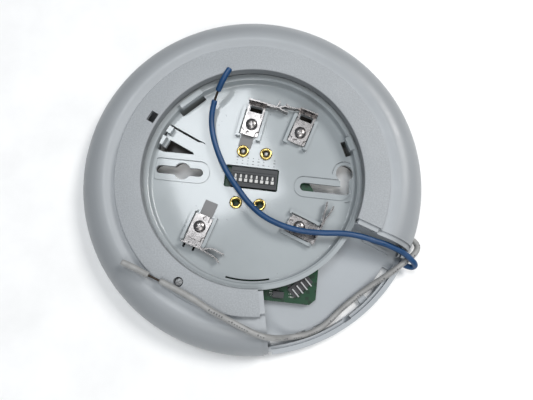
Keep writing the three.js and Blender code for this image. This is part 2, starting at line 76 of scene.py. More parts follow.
# Driving dimensions shared with the CAD model.
GAP = 0.3
PLATEAU_EDGE = 62.5
WELL_RADIUS = 50.5
WALL = 2
CREST_RADIUS = 68.5
CREST_TOP = 17.6
COVE_FOOT = 16.5                     # height of the foot of the hollow round the plateau
RIM_SPRING = 4                       # height at which the rounded rim starts
SECTOR = (-86, -26.2)
RABBET = 2.2
REAR_FLOOR = 2
REAR_WALL_TOP = 6
OPEN_WALL_RADIUS = 80.6
SLOT_RING = (74, 77.2)
SLOT_SPANS = ((-85, -72), (-69, -50), (-47, -34.5))
SEAT_RADII = (45.6, 47.8)
RIB_TOP = 13
BOARD_TILT = -7.5
BOARD_OUTLINE = ((-18, -55.1), (32.2, -55.1), (35, -52.4), (35, -10), (16, 18), (-18, 18))
CHIP = (14.9, 20.1, -53.3, -50.5)
SWITCH_COUNT = 8
SWITCH_PITCH = 2.54
SWITCH_CENTRE = (0.2, 0.95)
SWITCH_SIZE = (22, 9.4)
SWITCH_WINDOW = (-13.7, 11.8, -4.7, 6.15)
LEVER_HALF = 0.75
LEVER_TRAVEL = 2
LEVER_Y = -0.6
EYELETS = ((-4.7, 14), (6.3, 12.4), (-8.4, -10.8), (2.7, -12.2))
COVER_SCREW = (-33.1, -46.9)
PILOT_RADIUS = 1.3
SQUARE_HOLE_ANGLE = 148.5
ARM_PIVOT = (-25.3, 15.6)
ARM_ANGLE = 149.1
ARM_ROOT = (0, 0.4)
ARM_LENGTH = 22
ARM_REACH = 47.3                     # radius that the arm's free end is trimmed to
ARM_OPENING_REACH = 48.1
ROOT_RADIUS = 2.8
LEFT_SLOT = ((-44.2, 6.1), (-25.9, 3.9), (-33.8, 4.9))
RIGHT_SLOT = ((24.1, -3.7), (43.4, -6.2), (43.6, 2.3))
SLOT_HALF = 2
KEYHOLE = 4.1
TERMINALS = (
    {"at": (-0.4, 26.7), "turn": 17, "tab": 11},
    {"at": (22.8, 22.1), "turn": 24, "tab": 10.8},
    {"at": (-25.1, -22), "turn": 204.5, "tab": 9.2},
    {"at": (20.8, -23.1), "turn": 118, "tab": 9},
)
# Blades of each contact's fork, as lines seen from above in the terminal's own frame.
FORKS = (
    (((4.4, 10.8), (7.4, 10.6), (10, 11), (12.5, 10.3), (15.2, 10)),
     ((4.4, 11), (7.5, 11.3), (10, 11.1), (12.8, 12.3), (15.3, 12.7)),
     ((9.4, 11.2), (10, 13), (10.2, 14.6))),
    (((-4, 10.6), (-7, 9.5), (-9.5, 9.3), (-11.4, 10.2)),),
    (((-4, 9), (-6.5, 8.7), (-8.6, 7.3), (-12, 7.1), (-15.6, 7.4)),
     ((-4, 9.3), (-9.4, 9.8), (-12.6, 10.2), (-14.8, 11.5))),
    (((-3.7, 9), (-6.7, 8.7), (-10.5, 7.7), (-13.4, 7.4), (-16.2, 6.5)),
     ((-3.7, 9.2), (-6.7, 9.3), (-9.3, 9.3), (-12.3, 10), (-15.7, 10.2))),
)
FORK_Z = (10.2, 13.4)
TAB_TOP = 14.2
RAIL_X = (4.7, 6.1)
RAIL_TOP = 11.6
STRIP_THICKNESS = 0.6
SCREW_HOLE = 1.8
SCREW_PITCH = 0.7
FAR_TAB = 10                         # a tab further out than this has an opening by it
FLAT_RADIUS = 47
EYELET_HOLE = 2.5
# Middle and half length of each bayonet window and of the ledge over it.
BAYONETS = (((127.6, 7), (126.8, 6.2)), ((17.8, 3.8), (18.6, 3.2)))
WINDOW_RADII = (45.6, 48.4)
LEDGE_RADII = (47.1, 49.6)
LEDGE_Z = (11.7, 15)
BOARD_POSTS = ((-14, -38), (31, -22))
HEADER_CORNER = (22.8, -52.4)
HEADER_ANGLE = 38
WIRE_NOTCHES = (-30.5, -21.4)
NOTCH_HALF = 2.2

# Leads: the same points as their CAD solids, in metres.
WIRE_DIAMETER = 0.0027
PATH_STEP = 0.0006
PRINT_SPAN = (40, 330)               # steps along the white lead that its print covers
BLUE_ROUTE = [
    (-.0099, .05, .0224), (-.0127, .0457, .0216), (-.016, .0404, .018), (-.0182, .0352, .015),
    (-.0193, .0284, .0134), (-.0185, .0202, .0128), (-.0159, .0114, .0125),
    (-.0127, .0042, .0125), (-.008, -.0036, .0128), (-.0025, -.0114, .0135),
    (.0038, -.0177, .0148), (.0118, -.0223, .0157), (.0208, -.0252, .0159),
    (.0298, -.0264, .0159), (.0412, -.027, .0156), (.0502, -.0288, .0149),
    (.055, -.0305, .0144), (.0602, -.0321, .0134), (.0651, -.0342, .0122),
    (.068, -.0357, .0114), (.0703, -.0374, .0108), (.0723, -.0392, .0101),
    (.0741, -.0409, .0086), (.0746, -.042, .0069), (.0736, -.0425, .0055),
    (.072, -.042, .0045), (.0705, -.0412, .004), (.0686, -.0404, .0039),
]
WHITE_ROUTE = [
    (-.057, -.0379, .0219), (-.0513, -.0406, .0218), (-.0448, -.0441, .0218),
    (-.0362, -.0485, .0218), (-.0276, -.0533, .0218), (-.0191, -.0589, .0218),
    (-.0107, -.0636, .0214), (-.0044, -.0671, .0206), (-.0004, -.0691, .0201),
    (.0034, -.0706, .0193), (.0067, -.0715, .0169), (.0096, -.0723, .0126),
    (.0124, -.0728, .0084), (.0158, -.073, .0052), (.0203, -.0726, .004),
    (.0257, -.0712, .0038), (.0302, -.069, .0038),
    (.0346, -.0658, .0038), (.039, -.0618, .0038), (.0453, -.0569, .0039),
    (.0516, -.0524, .0043), (.056, -.0494, .0056), (.0599, -.0468, .0072),
    (.0644, -.0439, .0079), (.0682, -.0413, .0076), (.0712, -.0392, .0073),
    (.074, -.0372, .0068), (.0764, -.0349, .0059), (.0773, -.0325, .0048),
    (.0762, -.0303, .004),
    (.0735, -.0289, .0038), (.07, -.0276, .0038), (.066, -.0264, .0038),
]


# ---------------------------------------------------------------- materials

class Nodes:
    """Adds nodes to a material and joins them up."""

    def __init__(self, name):
        self.material = bpy.data.materials.new(name)
        self.material.use_nodes = True
        self.tree = self.material.node_tree
        self.shader = self.tree.nodes["Principled BSDF"]
        self.place = self.add("ShaderNodeTexCoord").outputs["Object"]

    def add(self, kind, **inputs):
        node = self.tree.nodes.new(kind)
        for key, value in inputs.items():
            target = node.inputs[key.replace("_", " ")]
            if isinstance(value, bpy.types.NodeSocket):
                self.tree.links.new(value, target)
            else:
                target.default_value = value
        return node

    def radius_and_height(self):
        """Distance from the object's axis, and height, in metres."""
        x, y, z = self.add("ShaderNodeSeparateXYZ", Vector=self.place).outputs
        squares = self.math("ADD", self.math("MULTIPLY", x, x), self.math("MULTIPLY", y, y))
        return self.math("SQRT", squares), z

    def noise(self, scale, detail=3.0, roughness=0.55):
        return self.add("ShaderNodeTexNoise", Vector=self.place, Scale=scale, Detail=detail,
                        Roughness=roughness).outputs["Fac"]

    def ramp(self, value, low, high, bottom=0.0, top=1.0):
        node = self.add("ShaderNodeMapRange", Value=value, From_Min=low, From_Max=high,
                        To_Min=bottom, To_Max=top)
        return node.outputs["Result"]

    def math(self, operation, a, b=0.0):
        node = self.tree.nodes.new("ShaderNodeMath")
        node.operation = operation
        for socket, value in zip(node.inputs, (a, b)):
            if isinstance(value, bpy.types.NodeSocket):
                self.tree.links.new(value, socket)
            else:
                socket.default_value = value
        return node.outputs[0]

    def mix(self, factor, a, b):
        node = self.tree.nodes.new("ShaderNodeMix")
        node.data_type = "RGBA"
        for index, value in ((0, factor), (6, a), (7, b)):
            if isinstance(value, bpy.types.NodeSocket):
                self.tree.links.new(value, node.inputs[index])
            else:
                node.inputs[index].default_value = value if index == 0 else (*value, 1)
        return node.outputs[2]

    def colour(self, socket):
        self.tree.links.new(socket, self.shader.inputs["Base Color"])

    def roughness(self, socket):
        self.tree.links.new(socket, self.shader.inputs["Roughness"])

    def bump(self, height, strength, distance=0.0001):
        node = self.add("ShaderNodeBump", Height=height, Strength=strength, Distance=distance)
        self.tree.links.new(node.outputs[0], self.shader.inputs["Normal"])

    def set(self, **values):
        for key, value in values.items():
            self.shader.inputs[key.replace("_", " ")].default_value = value
        return self.material


def shade(colour, factor):
    return tuple(min(c * factor, 1) for c in colour)


def plastic(name, colour, rough=(0.32, 0.45), grain=2600, strength=0.12, specks=0.0):
    """Moulded plastic: faint mottling, fine grain, uneven gloss and a few dust specks."""
    n = Nodes(name)
    cloud = n.noise(28, 4)
    base = n.mix(n.ramp(cloud, 0.35, 0.65), shade(colour, 0.955), shade(colour, 1.03))
    if specks:
        dust = n.ramp(n.noise(520, 2, 0.7), 0.735, 0.775, 0, specks)
        base = n.mix(dust, base, shade(colour, 0.35))
    n.colour(base)
    n.roughness(n.ramp(n.noise(60, 5, 0.7), 0.3, 0.7, *rough))
    n.bump(n.noise(grain, 2), strength)
    return n.set(IOR=1.5)


def cover_plastic():
    """Light grey cover: spark texture on the raised ring, satin and scuffed on the rim, with
    painted shade darkening the outer rim and the well's wall.
    """
    n = Nodes("cover_plastic")
    colour = (0.365, 0.385, 0.405)
    radius, height = n.radius_and_height()
    on_ring = n.ramp(radius, PLATEAU_EDGE * MM, (PLATEAU_EDGE - 0.6) * MM)
    on_top = n.ramp(height, (PLATEAU_TOP - 0.9) * MM, (PLATEAU_TOP - 0.2) * MM)
    textured = n.math("MULTIPLY", on_ring, on_top)
    cloud = n.ramp(n.noise(22, 5), 0.35, 0.65)
    # painted shade: the rim past its crest is coloured darker, for the shade of its rounded
    # fall-off
    painted_rim_shade = n.ramp(radius, 66 * MM, 72 * MM)
    base = n.mix(cloud, shade(colour, 0.95), shade(colour, 1.02))
    base = n.mix(painted_rim_shade, base, n.mix(cloud, shade(colour, 0.74), shade(colour, 0.8)))
    # painted shade: the inner wall of the well is coloured darker, for the shade it stands in
    base = n.mix(n.ramp(radius, (WELL_RADIUS + 0.5) * MM, (WELL_RADIUS + 0.1) * MM), base,
                 shade(colour, 0.6))
    pits = n.ramp(n.noise(1500, 3, 0.6), 0.42, 0.6)
    base = n.mix(n.math("MULTIPLY", textured, n.ramp(pits, 0, 1, 0.45, 0)), base,
                 shade(colour, 0.7))
    scuff = n.ramp(n.noise(190, 6, 0.8), 0.69, 0.74, 0, 0.4)
    base = n.mix(scuff, base, shade(colour, 0.62))
    n.colour(base)
    satin = n.ramp(n.noise(70, 5, 0.7), 0.3, 0.7, 0.33, 0.47)
    n.roughness(n.math("ADD", satin, n.math("MULTIPLY", textured, 0.16)))
    relief = n.math("ADD", n.math("MULTIPLY", pits, n.ramp(textured, 0, 1, 0.05, 1)),
                    n.math("MULTIPLY", n.noise(3600, 2), 0.15))
    n.bump(relief, 0.42, 0.00009)
    return n.set(IOR=1.5)


def metal(name, colour, rough=(0.14, 0.3), streak=(1, 1, 1), tarnish=0.0):
    """Plated metal: brushed streaks, uneven gloss and a little tarnish."""
    n = Nodes(name)
    stretched = n.add("ShaderNodeMapping", Vector=n.place)
    stretched.inputs["Scale"].default_value = streak
    fine = n.add("ShaderNodeTexNoise", Vector=stretched.outputs[0], Scale=1400.0,
                 Detail=3.0).outputs["Fac"]
    stain = n.ramp(n.noise(330, 4, 0.6), 0.45, 0.7, 0, tarnish)
    n.colour(n.mix(stain, n.mix(n.ramp(fine, 0.3, 0.7), shade(colour, 0.9), colour),
                   shade(colour, 0.4)))
    n.roughness(n.ramp(n.noise(240, 4, 0.7), 0.3, 0.7, *rough))
    n.bump(fine, 0.12, 0.00004)
    return n.set(Metallic=1.0)


def insulation(name, colour, rough):
    """Extruded PVC: a faint lengthwise mottling and a soft shine."""
    n = Nodes(name)
    n.colour(n.mix(n.ramp(n.noise(160, 4), 0.35, 0.65), shade(colour, 0.84), shade(colour, 1.08)))
    n.roughness(n.ramp(n.noise(420, 3), 0.3, 0.7, rough, rough + 0.14))
    n.bump(n.noise(1500, 3), 0.12, 0.00006)
    return n.set(IOR=1.52)


def solder_mask():
    """Green board with a faint relief of its copper tracks."""
    n = Nodes("board_green")
    cells = n.add("ShaderNodeTexVoronoi", Vector=n.place, Scale=420.0)
    cells.distance = "CHEBYCHEV"
    tracks = n.ramp(cells.outputs["Distance"], 0.3, 0.36)
    n.colour(n.mix(tracks, (0.001, 0.024, 0.009), (0.002, 0.044, 0.016)))
    n.roughness(n.ramp(n.noise(300, 3), 0.3, 0.7, 0.3, 0.42))
    n.bump(tracks, 0.15, 0.00006)
    return n.set(IOR=1.4)


def housing():
    """Moulded grey pan, with shade painted dark into the closed space behind the terminal plate."""
    n = Nodes("housing_plastic")
    colour = (0.37, 0.395, 0.42)
    radius, _ = n.radius_and_height()
    behind = n.ramp(radius, (PLATE_RADIUS + 0.2) * MM, (PLATE_RADIUS - 1.2) * MM)
    cloud = n.mix(n.ramp(n.noise(28, 4), 0.35, 0.65), shade(colour, 0.955), shade(colour, 1.03))
    # painted shade: the pan is coloured near black under the terminal plate, where little light
    # reaches
    painted_cavity_shade = n.mix(n.ramp(n.noise(180, 4), 0.3, 0.7), (0.035, 0.033, 0.03), (0.06, 0.056, 0.05))
    n.colour(n.mix(behind, cloud, painted_cavity_shade))
    n.roughness(n.ramp(n.noise(60, 5, 0.7), 0.3, 0.7, 0.36, 0.5))
    n.bump(n.noise(2300, 2), 0.1)
    return n.set(IOR=1.5)


MATERIALS = {
    "cover_plastic": cover_plastic(),
    "housing_plastic": housing(),
    "plate_plastic": plastic("plate_plastic", (0.375, 0.405, 0.42), (0.07, 0.12), 1900, 0.012, 0.7),
    "board_green": solder_mask(),
    "switch_black": plastic("switch_black", (0.028, 0.03, 0.033), (0.4, 0.55), 3000, 0.15),
    "lever_white": plastic("lever_white", (0.60, 0.595, 0.58), (0.35, 0.5), 3000, 0.1),
    "contact_steel": metal("contact_steel", (0.34, 0.32, 0.315), (0.2, 0.34), (6, 1, 1), 0.55),
    "plain_steel": metal("plain_steel", (0.42, 0.425, 0.43), (0.45, 0.6), (1, 5, 1), 0.3),
    "eyelet_brass": metal("eyelet_brass", (0.62, 0.46, 0.16), (0.12, 0.24), (1, 1, 1), 0.25),
    "blue_insulation": insulation("blue_insulation", (0.004, 0.05, 0.15), 0.36),
    "white_insulation": insulation("white_insulation", (0.30, 0.30, 0.295), 0.36),
    "dull_tin": plastic("dull_tin", (0.20, 0.20, 0.205), (0.5, 0.65), 1400, 0.05),
    "bare_copper": metal("bare_copper", (0.07, 0.055, 0.045), (0.35, 0.5), (1, 1, 1), 0.5),
    # dark grey: the real print on the white lead, and painted shade on the moulded marks by the
    # switch
    "ink_and_shade_grey": plastic("ink_and_shade_grey", (0.10, 0.10, 0.105), (0.45, 0.6), 2000, 0.05),
}


# ---------------------------------------------------------------- camera, light and floor

SENSOR_WIDTH = 36                    # millimetres, as the lens is
LENS = 30.05
CAMERA_PLACE = (0.00238, -0.0442, 0.21595)
CAMERA_TURN = (9.44, -0.83, -1.155)  # degrees


def make_camera():
    data = bpy.data.cameras.new("camera")
    data.sensor_width = SENSOR_WIDTH
    data.lens = LENS
    data.clip_start = 0.01
    camera = bpy.data.objects.new("camera", data)
    camera.location = CAMERA_PLACE
    camera.rotation_euler = Euler([math.radians(angle) for angle in CAMERA_TURN])
    bpy.context.scene.collection.objects.link(camera)
    bpy.context.scene.camera = camera


def area_light(name, place, aim, size, power, colour=(1, 1, 1)):
    data = bpy.data.lights.new(name, "AREA")
    data.shape = "RECTANGLE"
    data.size, data.size_y = size
    data.energy = power
    data.color = colour
    light = bpy.data.objects.new(name, data)
    light.location = place
    light.rotation_euler = (Vector(aim) - Vector(place)).to_track_quat("-Z", "Y").to_euler()
    bpy.context.scene.collection.objects.link(light)


def make_lights():
    world = bpy.data.worlds.new("studio")
    world.use_nodes = True
    background = world.node_tree.nodes["Background"]
    background.inputs["Color"].default_value = (0.86, 0.93, 1.0, 1)
    background.inputs["Strength"].default_value = 0.2
    scene = bpy.context.scene
    scene.world = world
    scene.view_settings.view_transform = "Standard"
    area_light("key", (0.66, 0.42, 0.92), (0, 0, 0), (0.4, 0.35), 8.2, (1, 0.98, 0.96))
    area_light("top", (0.1, -0.4, 0.9), (0, 0, 0), (0.4, 0.4), 2.8, (1, 0.99, 0.97))
    area_light("window", (-0.09, 0.22, 0.80), (-0.02, 0.012, 0), (0.24, 0.26), 1.9,
               (0.93, 0.97, 1))
    area_light("fill", (-0.2, -0.9, 0.5), (0, 0, 0), (0.9, 0.6), 1.4, (0.92, 0.96, 1))


def make_floor():
    half = 3
    mesh = bpy.data.meshes.new("floor")
    mesh.from_pydata([(-half, -half, 0), (half, -half, 0), (half, half, 0), (-half, half, 0)], [],
                     [(0, 1, 2, 3)])
    floor = bpy.data.objects.new("floor", mesh)
    bpy.context.scene.collection.objects.link(floor)
    mesh.materials.append(plastic("floor_paper", (0.93, 0.93, 0.93), (0.7, 0.8), 900, 0.02))


make_camera()
make_lights()
make_floor()


# ---------------------------------------------------------------- leads

def smooth_path(points, step):
    """Centripetal Catmull-Rom curve through the points, sampled about every step."""
    pts = [Vector(p) for p in points]
    pts = [pts[0] * 2 - pts[1], *pts, pts[-1] * 2 - pts[-2]]
    path = []
    for a, b, c, d in zip(pts, pts[1:], pts[2:], pts[3:]):
        t0, t1 = 0.0, (b - a).length ** 0.5
        t2 = t1 + (c - b).length ** 0.5
        t3 = t2 + (d - c).length ** 0.5
        count = max(2, round((c - b).length / step))
        for i in range(count):
            t = t1 + (t2 - t1) * i / count
            ab = a.lerp(b, (t - t0) / (t1 - t0))
            bc = b.lerp(c, (t - t1) / (t2 - t1))
            cd = c.lerp(d, (t - t2) / (t3 - t2))
            path.append(ab.lerp(bc, (t - t0) / (t2 - t0)).lerp(
                bc.lerp(cd, (t - t1) / (t3 - t1)), (t - t1) / (t2 - t1)))
    path.append(pts[-2])
    return path


SIDES = 20


def add_tube(bm, path, radii, material, paint=None):
    """A closed tube along a path, with a radius at each point; paint gives a face another slot."""
    side = Vector((0, 0, 1)).cross(path[1] - path[0]).normalized()
    rings = []
    for i, (point, radius) in enumerate(zip(path, radii)):
        along = (path[min(i + 1, len(path) - 1)] - path[max(i - 1, 0)]).normalized()
        side = (side - along * side.dot(along)).normalized()
        up = along.cross(side)
        rings.append([bm.verts.new(point + radius * (
            side * math.cos(2 * math.pi * k / SIDES) + up * math.sin(2 * math.pi * k / SIDES)))
            for k in range(SIDES)])
    for i, (a, b) in enumerate(zip(rings, rings[1:])):
        for k in range(SIDES):
            face = bm.faces.new((a[k], a[(k + 1) % SIDES], b[(k + 1) % SIDES], b[k]))
            face.material_index = paint(i, k) if paint and paint(i, k) else material
            face.smooth = True
    for cap in (list(reversed(rings[0])), rings[-1]):
        bm.faces.new(cap).material_index = material


def lead(name, route, diameter, gap, core, finish, paint=None):
    """A single lead: a slipped slug of insulation, a stripped gap with its core, then the rest."""
    path = smooth_path(route, PATH_STEP)
    start, end = (round(distance / PATH_STEP) for distance in gap)
    bm = bmesh.new()
    edge = diameter * 0.06

    def insulated(part):
        radii = [diameter / 2] * len(part)
        radii[0] = radii[-1] = diameter / 2 - edge
        add_tube(bm, part, radii, 0, paint)

    insulated(path[:start])
    insulated(path[end:])
    add_tube(bm, path[start - 3:end + 3], [core / 2] * (end - start + 6), 1)
    mesh = bpy.data.meshes.new(name)
    bmesh.ops.recalc_face_normals(bm, faces=bm.faces)
    bm.to_mesh(mesh)
    bm.free()
    for slot in (finish, "bare_copper", "ink_and_shade_grey"):
        mesh.materials.append(MATERIALS[slot])
    piece = bpy.data.objects.new(name, mesh)
    bpy.context.scene.collection.objects.link(piece)
    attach(piece, "base")
    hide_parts(name.replace("_visual", ""))


def printed_ticks():
    """Plain ticks in the place of print along the side of the white lead that faces up."""
    rng = random.Random(5)
    marks = {}
    position, last = PRINT_SPAN
    while position < last:
        for _ in range(rng.choice((3, 4, 6, 8))):
            marks[position] = rng.choice((0, 0, 1))
            position += 2
        position += rng.choice((4, 6, 9))
    top = SIDES // 4
    return lambda i, k: 2 if i in marks and k in (top, top - marks[i]) else 0


lead("blue_lead_visual", BLUE_ROUTE, WIRE_DIAMETER, (0.0128, 0.0166), 0.0011,
     "blue_insulation")
lead("white_lead_visual", WHITE_ROUTE, WIRE_DIAMETER, (0.0139, 0.0186), 0.0010,
     "white_insulation", printed_ticks())


# ---------------------------------------------------------------- solids

FINE = 180                           # facets round the large rings
SHARP_ANGLE = math.radians(32)
THROUGH = (0, 20)                    # heights of a cut right through the plate and its fittings


def solid(points, faces):
    """A temporary closed mesh object, from points in millimetres."""
    mesh = bpy.data.meshes.new("solid")
    mesh.from_pydata([Vector(p) * MM for p in points], [], faces)
    bm = bmesh.new()
    bm.from_mesh(mesh)
    bmesh.ops.recalc_face_normals(bm, faces=bm.faces)
    bm.to_mesh(mesh)
    bm.free()
    made = bpy.data.objects.new("solid", mesh)
    bpy.context.scene.collection.objects.link(made)
    return made


def prism(outline, z0, z1):
    n = len(outline)
    points = [(x, y, z0) for x, y in outline] + [(x, y, z1) for x, y in outline]
    walls = [(i, (i + 1) % n, n + (i + 1) % n, n + i) for i in range(n)]
    return solid(points, [tuple(reversed(range(n))), tuple(range(n, 2 * n)), *walls])


def box(x0, x1, y0, y1, z0, z1):
    return prism([(x0, y0), (x1, y0), (x1, y1), (x0, y1)], z0, z1)


def arc(centre, radius, start, end, steps):
    """Points on an arc, from one angle to another in degrees."""
    angles = [math.radians(start + (end - start) * i / steps) for i in range(steps + 1)]
    return [(centre[0] + radius * math.cos(a), centre[1] + radius * math.sin(a)) for a in angles]


def rounded_box(x0, x1, y0, y1, z0, z1, radius, steps=6):
    outline = (arc((x1 - radius, y1 - radius), radius, 0, 90, steps)
               + arc((x0 + radius, y1 - radius), radius, 90, 180, steps)
               + arc((x0 + radius, y0 + radius), radius, 180, 270, steps)
               + arc((x1 - radius, y0 + radius), radius, 270, 360, steps))
    return prism(outline, z0, z1)


def cylinder(radius, z0, z1, centre=(0, 0), steps=64):
    return prism(arc(centre, radius, 0, 360 * (steps - 1) / steps, steps - 1), z0, z1)


def turned(outline, steps=FINE, centre=(0, 0)):
    """Revolves a closed outline of (radius, height); points on the axis close it there."""
    points, rings = [], []
    for r, z in outline:
        if r < 1e-6:
            rings.append([len(points)] * steps)
            points.append((*centre, z))
            continue
        rings.append(list(range(len(points), len(points) + steps)))
        turn = 2 * math.pi / steps
        points += [(centre[0] + r * math.cos(turn * k), centre[1] + r * math.sin(turn * k), z)
                   for k in range(steps)]
    faces = []
    for a, b in zip(rings, rings[1:] + rings[:1]):
        for k in range(steps):
            loop = [a[k], a[(k + 1) % steps], b[(k + 1) % steps], b[k]]
            loop = [v for i, v in enumerate(loop) if v != loop[i - 1]]
            if len(loop) > 2:
                faces.append(loop)
    return solid(points, faces)


def ring(inner, outer, z0, z1, steps=FINE):
    return turned([(inner, z0), (outer, z0), (outer, z1), (inner, z1)], steps)


def slot_outline(a, b, radius, steps=14):
    angle = math.degrees(math.atan2(b[1] - a[1], b[0] - a[0]))
    return (arc(b, radius, angle - 90, angle + 90, steps)
            + arc(a, radius, angle + 90, angle + 270, steps))


def slot(a, b, radius, z0, z1):
    return prism(slot_outline(a, b, radius), z0, z1)


def polar(radius, degrees):
    return (radius * math.cos(math.radians(degrees)), radius * math.sin(math.radians(degrees)))


def placed(piece, degrees, centre=(0, 0)):
    piece.data.transform(Matrix.Translation((centre[0] * MM, centre[1] * MM, 0))
                         @ Matrix.Rotation(math.radians(degrees), 4, "Z"))
    return piece


def boolean(first, others, operation):
    """Joins or cuts with Blender's boolean and removes what was used up."""
    for other in others:
        modifier = first.modifiers.new("boolean", "BOOLEAN")
        modifier.operation = operation
        modifier.solver = "MANIFOLD"
        modifier.object = other
        bpy.context.view_layer.update()
        result = bpy.data.meshes.new_from_object(
            first.evaluated_get(bpy.context.evaluated_depsgraph_get()))
        first.modifiers.clear()
        first.data = result
        bpy.data.objects.remove(other)
    return first


def union(first, *others):
    return boolean(first, others, "UNION")


def cut(first, *others):
    return boolean(first, others, "DIFFERENCE")


def common(first, *others):
    return boolean(first, others, "INTERSECT")


def finished(piece, name, body, material, bevel=0.15, replaces=None):
    """Cleans a solid, rounds its edges and makes it a piece of the object."""
    bm = bmesh.new()
    bm.from_mesh(piece.data)
    bmesh.ops.remove_doubles(bm, verts=bm.verts, dist=2e-6)
    bmesh.ops.dissolve_limit(bm, angle_limit=math.radians(0.2), verts=bm.verts, edges=bm.edges)
    bmesh.ops.recalc_face_normals(bm, faces=bm.faces)
    for face in bm.faces:
        face.smooth = True
    bm.to_mesh(piece.data)
    bm.free()
    piece.name = name
    piece.data.name = name
    piece.data.materials.clear()
    piece.data.materials.append(MATERIALS[material])
    piece.data.set_sharp_from_angle(angle=SHARP_ANGLE)
    if bevel:
        modifier = piece.modifiers.new("bevel", "BEVEL")
        modifier.width = bevel * MM
        modifier.segments = 2
        modifier.limit_method = "ANGLE"
        modifier.angle_limit = SHARP_ANGLE
        modifier.harden_normals = True
    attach(piece, body)
    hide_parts(replaces or name.replace("_visual", ""))
    return piece


def sector_wedge(margin, z0, z1):
    """The wedge between the cover's two cut edges, widened by a margin along both."""
    middle = (SECTOR[0] + SECTOR[1]) / 2
    half = (SECTOR[1] - SECTOR[0]) / 2
    x, y = polar(-margin / math.sin(math.radians(half)), middle)
    far = [polar(3 * RIM_RADIUS, angle) for angle in SECTOR]
    return prism([(x, y), *((x + a, y + b) for a, b in far)], z0, z1)


# ---------------------------------------------------------------- cover

def rim_curve(inset, steps=26):
    """The rounded rim, a quarter ellipse from its crest to its widest point."""
    height = CREST_TOP - RIM_SPRING - inset * 1.6
    reach = RIM_RADIUS - inset - CREST_RADIUS
    angles = [math.pi / 2 * (1 - i / steps) for i in range(steps + 1)]
    return [(CREST_RADIUS + reach * math.cos(a), RIM_SPRING + height * math.sin(a))
            for a in angles]


def cove(depth, steps=10):
    """The hollow between the plateau's foot and the crest of the rim, an easing curve."""
    foot = (PLATEAU_EDGE + 0.9 - depth, COVE_FOOT - depth)
    crest = (CREST_RADIUS, CREST_TOP - depth * 0.96)
    points = []
    for i in range(steps):
        t = i / steps
        ease = t * t * (3 - 2 * t)
        points.append((foot[0] + (crest[0] - foot[0]) * t, foot[1] + (crest[1] - foot[1]) * ease))
    return points


def cover_shell(depth):
    lip = PLATE_RIM_TOP + 0.6
    top = PLATEAU_TOP - depth
    outer = [
        (WELL_RADIUS + depth, lip), *reversed(arc(
            (WELL_RADIUS + depth + 0.5, top - 0.5), 0.5, 90, 180, 4)),
        *reversed(arc((PLATEAU_EDGE - depth - 0.6, top - 0.6), 0.6, 0, 90, 5)),
        (PLATEAU_EDGE + 0.15 - depth, 17.1 - depth), *cove(depth),
        *rim_curve(depth * 0.6), (RIM_RADIUS - depth * 0.6, RIM_BOTTOM),
    ]
    inner = [
        (RIM_RADIUS - 1.1, RIM_BOTTOM), *reversed(rim_curve(1.1)),
        (64.8, 14.5), (PLATEAU_EDGE - 1.8, 15.4), (PLATEAU_EDGE - 2.4, PLATEAU_TOP - WALL),
        (WELL_RADIUS + WALL, PLATEAU_TOP - WALL), (WELL_RADIUS + WALL, lip),
    ]
    return turned([*outer, *inner])


def moulded_ticks():
    """Four plain raised bars on the plateau."""
    marks = []
    for i in range(4):
        bar = box(-0.28, 0.28, -1.5, 1.5, PLATEAU_TOP - 0.3, PLATEAU_TOP + 0.12)
        marks.append(placed(bar, 204 + 3.4 * i, polar(56.4, 203 + 3.4 * i)))
    return marks


def make_cover():
    skin = cut(cover_shell(0), sector_wedge(RABBET, -1, 30))
    lip = cut(cover_shell(1), sector_wedge(0, -1, 30))
    boss = cylinder(3.8, PLATE_RIM_TOP + 0.4, PLATEAU_TOP - 1, COVER_SCREW)
    hole = placed(box(-1.8, 1.8, -2.5, 2.5, 10, 25), SQUARE_HOLE_ANGLE,
                  polar(53.6, SQUARE_HOLE_ANGLE))
    notch = placed(box(70, 90, -NOTCH_HALF, NOTCH_HALF, 0, 5.8), WIRE_NOTCHES[1])
    shell = cut(union(skin, lip, boss), hole, notch,
                cylinder(2.2, 16, 25, COVER_SCREW), cylinder(PILOT_RADIUS, 10, 20, COVER_SCREW))
    finished(union(shell, *moulded_ticks()), "front_cover_visual", "base", "cover_plastic", 0.14)


# ---------------------------------------------------------------- rear housing

def ring_slot(start, end, inner, outer, z0, z1):
    steps = max(4, round(abs(end - start)))
    return prism([*arc((0, 0), outer, start, end, steps), *arc((0, 0), inner, end, start, steps)],
                 z0, z1)


def mount_openings(margin, z0, z1):
    narrow = SLOT_HALF + margin
    wide = KEYHOLE + margin
    return [
        slot(LEFT_SLOT[0], LEFT_SLOT[1], narrow, z0, z1), cylinder(wide, z0, z1, LEFT_SLOT[2]),
        slot(RIGHT_SLOT[0], RIGHT_SLOT[1], narrow, z0, z1),
        slot(RIGHT_SLOT[1], RIGHT_SLOT[2], narrow, z0, z1),
        cylinder(wide, z0, z1, RIGHT_SLOT[2]),
    ]


def in_board_frame(piece):
    return placed(piece, BOARD_TILT)


